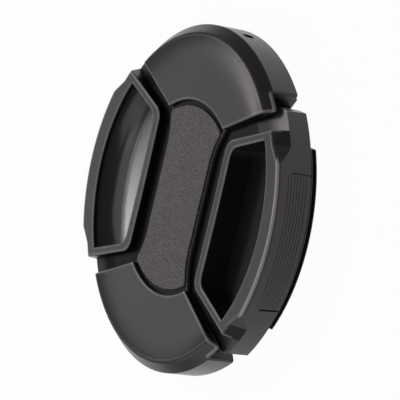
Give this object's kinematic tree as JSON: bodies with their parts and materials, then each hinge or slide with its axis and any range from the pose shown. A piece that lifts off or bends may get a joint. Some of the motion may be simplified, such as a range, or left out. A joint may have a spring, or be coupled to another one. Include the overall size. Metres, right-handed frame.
{
  "type": "camera lens cap",
  "caption": "Round lens cap with sprung pinch levers, finger cups on the front, ribbed side grips and thread ridges that catch a filter thread.",
  "frame": {"origin": "centre of the cap's back, on the axis of the filter thread, where the cap rests when it lies face up", "axes": "+Z along the cap's axis, out of the front face; +X along the levers' travel, towards the right lever; +Y along the centre bar, towards the side with the leash hole"},
  "size_m": [0.0574, 0.055, 0.0086],
  "materials": {
    "cap_plastic": "satin, charcoal",
    "badge_plastic": "fine pebble texture, charcoal",
    "back_plastic": "matte, black",
    "lever_plastic": "satin, charcoal, smoother in the cups",
    "spring_steel": "bright wire"
  },
  "bodies": {
    "cap": {"cap_body": "cap_plastic", "badge_plate": "badge_plastic", "back_plate": "back_plastic", "right_spring_upper": "spring_steel", "right_spring_lower": "spring_steel", "left_spring_upper": "spring_steel", "left_spring_lower": "spring_steel"},
    "right_lever": {"right_lever": "lever_plastic"},
    "left_lever": {"left_lever": "lever_plastic"}
  },
  "joints": [
    {"name": "right_lever_slide", "type": "slide", "parent": "cap", "child": "right_lever", "axis": [-1, 0, 0], "range_m": [0, 0.0022], "stiffness_N_per_m": 600, "springref_m": -0.003, "deforming": ["right_spring_upper", "right_spring_lower"]},
    {"name": "left_lever_slide", "type": "slide", "parent": "cap", "child": "left_lever", "axis": [1, 0, 0], "range_m": [0, 0.0022], "stiffness_N_per_m": 600, "springref_m": -0.003, "deforming": ["left_spring_upper", "left_spring_lower"]}
  ]
}
